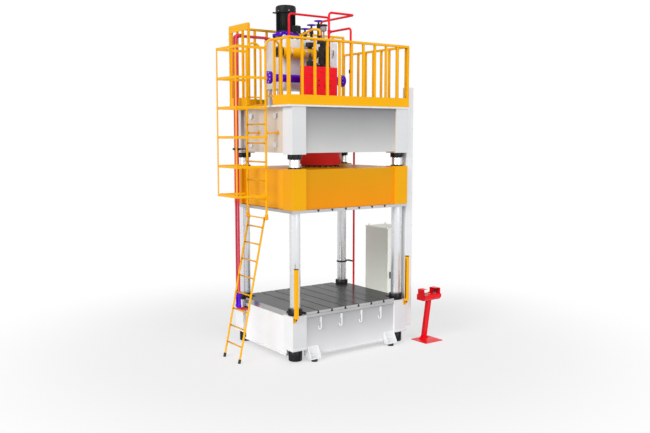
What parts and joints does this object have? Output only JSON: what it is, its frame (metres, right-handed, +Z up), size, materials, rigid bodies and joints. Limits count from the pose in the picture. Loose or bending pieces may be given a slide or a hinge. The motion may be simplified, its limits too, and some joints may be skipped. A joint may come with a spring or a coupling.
{
  "type": "hydraulic press",
  "caption": "Four-column hydraulic press with T-slotted table and slide, caged ladder, railed oil-unit platform, cabinet and two-hand pedestal.",
  "frame": {"origin": "on the floor, midway between the four columns", "axes": "+Z up, -Y towards the operator at the front, +X to the operator's right, where the cabinet stands"},
  "size_m": [4.426, 2.5148, 6.425],
  "materials": {
    "white_paint": "semi-gloss enamel",
    "yellow_paint": "semi-gloss enamel",
    "table_steel": "machined and oiled",
    "polished_steel": "ground and hard-chromed",
    "black_iron": "satin black",
    "black_rubber": "matte",
    "red_paint": "gloss enamel",
    "purple_paint": "gloss enamel",
    "cabinet_paint": "fine-textured powder coat",
    "black_plastic": "moulded",
    "red_plastic": "moulded"
  },
  "bodies": {
    "press": {"bed_frame": "white_paint", "block_stand": "table_steel", "breather": "black_iron", "cabinet_body": "cabinet_paint", "cable_duct": "white_paint", "column_back_left": "polished_steel", "column_back_right": "polished_steel", "column_front_left": "polished_steel", "column_front_right": "polished_steel", "column_nuts": "black_iron", "cooler_fittings": "black_iron", "crown_frame": "white_paint", "cylinder_gland": "black_iron", "cylinder_ring_nut": "black_iron", "die_hooks": "white_paint", "drive_motor": "black_iron", "foot_brackets": "white_paint", "foot_pads": "black_rubber", "ladder_brackets": "yellow_paint", "ladder_cage": "yellow_paint", "ladder_pivot": "black_iron", "ladder_upper": "yellow_paint", "light_curtains": "yellow_paint", "main_cylinder": "red_paint", "motor_feet": "black_iron", "motor_flange": "purple_paint", "oil_cooler": "yellow_paint", "oil_tank": "white_paint", "pedestal_head": "red_paint", "pedestal_post": "red_paint", "pilot_pipe": "yellow_paint", "pipe_clamps": "black_iron", "platform_deck": "white_paint", "prefill_valve": "purple_paint", "railing_back": "yellow_paint", "railing_front": "yellow_paint", "railing_left": "yellow_paint", "railing_right": "yellow_paint", "riser_pipes": "red_paint", "shutoff_valves": "black_iron", "side_pipe": "red_paint", "suction_manifold": "purple_paint", "table_plate": "table_steel", "tank_pipe": "red_paint", "valve_block": "red_paint", "valve_pipe": "red_paint", "valve_stack": "black_iron"},
    "slide": {"slide_frame": "yellow_paint", "slide_plate": "table_steel", "slide_bushes": "black_iron", "ram": "polished_steel"},
    "foot_ladder": {"ladder_lower": "yellow_paint"},
    "wheel_1": {"handwheel_1": "purple_paint"},
    "wheel_2": {"handwheel_2": "purple_paint"},
    "wheel_3": {"handwheel_3": "purple_paint"},
    "door": {"cabinet_door": "cabinet_paint"},
    "latch": {"door_handle": "black_plastic"},
    "palm_left": {"palm_button_left": "black_plastic"},
    "palm_right": {"palm_button_right": "black_plastic"},
    "stop": {"emergency_stop": "red_plastic"}
  },
  "joints": [
    {"name": "slide_stroke", "type": "slide", "parent": "press", "child": "slide", "axis": [0, 0, -1], "range_m": [0, 0.9]},
    {"name": "foot_ladder_hinge", "type": "hinge", "parent": "press", "child": "foot_ladder", "pos_m": [-1.51, -0.158, 2.545], "axis": [0, 1, 0], "range_deg": [0, 90]},
    {"name": "handwheel_1_turn", "type": "hinge", "parent": "press", "child": "wheel_1", "pos_m": [-0.075, 0.4, 6.03], "axis": [0, 0, 1], "continuous": true},
    {"name": "handwheel_2_turn", "type": "hinge", "parent": "press", "child": "wheel_2", "pos_m": [0.075, 0.4, 6.115], "axis": [0, 0, 1], "continuous": true},
    {"name": "handwheel_3_turn", "type": "hinge", "parent": "press", "child": "wheel_3", "pos_m": [0.242, 0.4, 6.205], "axis": [0, 0, 1], "continuous": true},
    {"name": "cabinet_door_hinge", "type": "hinge", "parent": "press", "child": "door", "pos_m": [2.309, 0.068, 1.085], "axis": [0, 0, 1], "range_deg": [0, 110]},
    {"name": "door_handle_turn", "type": "hinge", "parent": "door", "child": "latch", "pos_m": [1.81, 0.037, 1.15], "axis": [0, -1, 0], "range_deg": [0, 90]},
    {"name": "palm_left_push", "type": "slide", "parent": "press", "child": "palm_left", "axis": [0, 0, -1], "range_m": [0, 0.008], "stiffness_N_per_m": 1500, "springref_m": -0.006},
    {"name": "palm_right_push", "type": "slide", "parent": "press", "child": "palm_right", "axis": [0, 0, -1], "range_m": [0, 0.008], "stiffness_N_per_m": 1500, "springref_m": -0.006},
    {"name": "stop_push", "type": "slide", "parent": "press", "child": "stop", "axis": [0, 0, -1], "range_m": [0, 0.008]}
  ]
}
